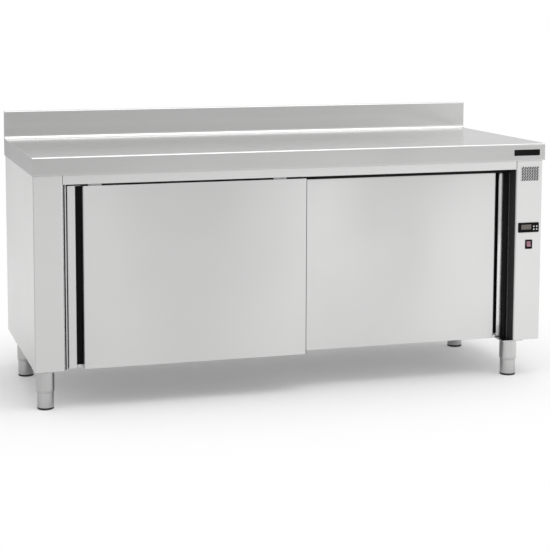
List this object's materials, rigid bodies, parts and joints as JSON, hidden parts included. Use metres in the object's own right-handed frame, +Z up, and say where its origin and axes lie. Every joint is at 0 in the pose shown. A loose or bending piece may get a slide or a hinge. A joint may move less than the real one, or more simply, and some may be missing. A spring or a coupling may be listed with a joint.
{
  "type": "plate warmer cabinet",
  "caption": "Heated cupboard for warming plates: long worktop with a splashback, sliding doors with finger pulls, a side control column and levelling legs.",
  "frame": {"origin": "floor level, below the centre of the overall bounding box", "axes": "+X along the length towards the control column, -Y is the front with the doors, +Z up"},
  "size_m": [1.8, 0.7008, 0.93],
  "materials": {
    "worktop_steel": "brushed",
    "body_steel": "brushed",
    "door_steel": "brushed",
    "liner_steel": "satin",
    "galvanised_steel": "satin",
    "leg_steel": "polished",
    "badge": "gloss",
    "rubber_black": "matte",
    "seal_silicone": "satin",
    "nylon_white": "satin",
    "pad_plastic": "matte",
    "control_black": "satin",
    "display_pane": "gloss",
    "key_white": "satin",
    "rocker_red": "gloss",
    "motor_paint": "satin",
    "element_sheath": "satin",
    "terminal_plastic": "matte"
  },
  "bodies": {
    "cabinet": {"worktop": "worktop_steel", "worktop_stiffeners": "galvanised_steel", "overhead_track": "galvanised_steel", "seal_carriers": "galvanised_steel", "back_panel_screws": "galvanised_steel", "nameplate": "badge", "left_side_panel": "body_steel", "right_side_panel": "body_steel", "control_panel": "body_steel", "back_panel": "body_steel", "base_tray": "body_steel", "end_bases": "body_steel", "door_rail": "body_steel", "vent_grille": "body_steel", "left_liner": "liner_steel", "right_liner": "liner_steel", "back_liner": "liner_steel", "floor_liner": "liner_steel", "ceiling_liner": "liner_steel", "air_duct": "liner_steel", "shelf_supports": "liner_steel", "shelf_rails": "liner_steel", "rubber_bumpers": "rubber_black", "door_seals": "seal_silicone", "door_guide": "nylon_white", "leg_tubes": "leg_steel", "cable_gland": "pad_plastic", "thermostat_housing": "control_black", "thermostat_bezel": "control_black", "switch_housing": "control_black", "thermostat_display": "display_pane", "fan_motor": "motor_paint", "heating_element": "element_sheath", "terminal_block": "terminal_plastic"},
    "left_door": {"left_door_skin": "door_steel", "left_door_back": "door_steel", "left_door_hangers": "galvanised_steel"},
    "right_door": {"right_door_skin": "door_steel", "right_door_back": "door_steel", "right_door_hangers": "galvanised_steel"},
    "left_roller_a": {"left_roller_a": "nylon_white"},
    "left_roller_b": {"left_roller_b": "nylon_white"},
    "right_roller_a": {"right_roller_a": "nylon_white"},
    "right_roller_b": {"right_roller_b": "nylon_white"},
    "left_shelf": {"left_shelf": "liner_steel"},
    "right_shelf": {"right_shelf": "liner_steel"},
    "key_set": {"key_set": "key_white"},
    "key_up": {"key_up": "key_white"},
    "key_down": {"key_down": "key_white"},
    "key_power": {"key_power": "key_white"},
    "switch_rocker": {"switch_rocker": "rocker_red"},
    "fan_wheel": {"fan_wheel": "galvanised_steel"},
    "front_left_foot": {"front_left_foot": "leg_steel", "front_left_pad": "pad_plastic"},
    "front_right_foot": {"front_right_foot": "leg_steel", "front_right_pad": "pad_plastic"},
    "back_left_foot": {"back_left_foot": "leg_steel", "back_left_pad": "pad_plastic"},
    "back_right_foot": {"back_right_foot": "leg_steel", "back_right_pad": "pad_plastic"}
  },
  "joints": [
    {"name": "left_door_slide", "type": "slide", "parent": "cabinet", "child": "left_door", "axis": [1, 0, 0], "range_m": [0, 0.77]},
    {"name": "right_door_slide", "type": "slide", "parent": "cabinet", "child": "right_door", "axis": [1, 0, 0], "range_m": [-0.77, 0]},
    {"name": "left_roller_a_spin", "type": "hinge", "parent": "left_door", "child": "left_roller_a", "pos_m": [-0.694, -0.315, 0.77715], "axis": [0, 1, 0], "range_deg": [-15, 2615]},
    {"name": "left_roller_b_spin", "type": "hinge", "parent": "left_door", "child": "left_roller_b", "pos_m": [-0.067, -0.315, 0.77715], "axis": [0, 1, 0], "range_deg": [-15, 2615]},
    {"name": "right_roller_a_spin", "type": "hinge", "parent": "right_door", "child": "right_roller_a", "pos_m": [0.703, -0.265, 0.77715], "axis": [0, 1, 0], "range_deg": [-2615, 15]},
    {"name": "right_roller_b_spin", "type": "hinge", "parent": "right_door", "child": "right_roller_b", "pos_m": [0.076, -0.265, 0.77715], "axis": [0, 1, 0], "range_deg": [-2615, 15]},
    {"name": "left_shelf_lift", "type": "slide", "parent": "cabinet", "child": "left_shelf", "axis": [0, 0, 1], "range_m": [0, 0.1]},
    {"name": "right_shelf_lift", "type": "slide", "parent": "cabinet", "child": "right_shelf", "axis": [0, 0, 1], "range_m": [0, 0.1]},
    {"name": "front_left_foot_level", "type": "slide", "parent": "cabinet", "child": "front_left_foot", "axis": [0, 0, -1], "range_m": [0, 0.015]},
    {"name": "front_right_foot_level", "type": "slide", "parent": "cabinet", "child": "front_right_foot", "axis": [0, 0, -1], "range_m": [0, 0.015]},
    {"name": "back_left_foot_level", "type": "slide", "parent": "cabinet", "child": "back_left_foot", "axis": [0, 0, -1], "range_m": [0, 0.015]},
    {"name": "back_right_foot_level", "type": "slide", "parent": "cabinet", "child": "back_right_foot", "axis": [0, 0, -1], "range_m": [0, 0.015]},
    {"name": "key_set_press", "type": "slide", "parent": "cabinet", "child": "key_set", "axis": [0, 1, 0], "range_m": [0, 0.0008], "stiffness_N_per_m": 200},
    {"name": "key_up_press", "type": "slide", "parent": "cabinet", "child": "key_up", "axis": [0, 1, 0], "range_m": [0, 0.0008], "stiffness_N_per_m": 200},
    {"name": "key_down_press", "type": "slide", "parent": "cabinet", "child": "key_down", "axis": [0, 1, 0], "range_m": [0, 0.0008], "stiffness_N_per_m": 200},
    {"name": "key_power_press", "type": "slide", "parent": "cabinet", "child": "key_power", "axis": [0, 1, 0], "range_m": [0, 0.0008], "stiffness_N_per_m": 200},
    {"name": "switch_rock", "type": "hinge", "parent": "cabinet", "child": "switch_rocker", "pos_m": [0.85, -0.332, 0.472], "axis": [1, 0, 0], "range_deg": [0, 18]},
    {"name": "fan_spin", "type": "hinge", "parent": "cabinet", "child": "fan_wheel", "pos_m": [0.79, 0.026, 0.445], "axis": [1, 0, 0], "continuous": true}
  ],
  "couplings": [
    {"joint": "left_roller_a_spin", "follows": "left_door_slide", "rad_per_m": 58.824},
    {"joint": "left_roller_b_spin", "follows": "left_door_slide", "rad_per_m": 58.824},
    {"joint": "right_roller_a_spin", "follows": "right_door_slide", "rad_per_m": 58.824},
    {"joint": "right_roller_b_spin", "follows": "right_door_slide", "rad_per_m": 58.824}
  ]
}
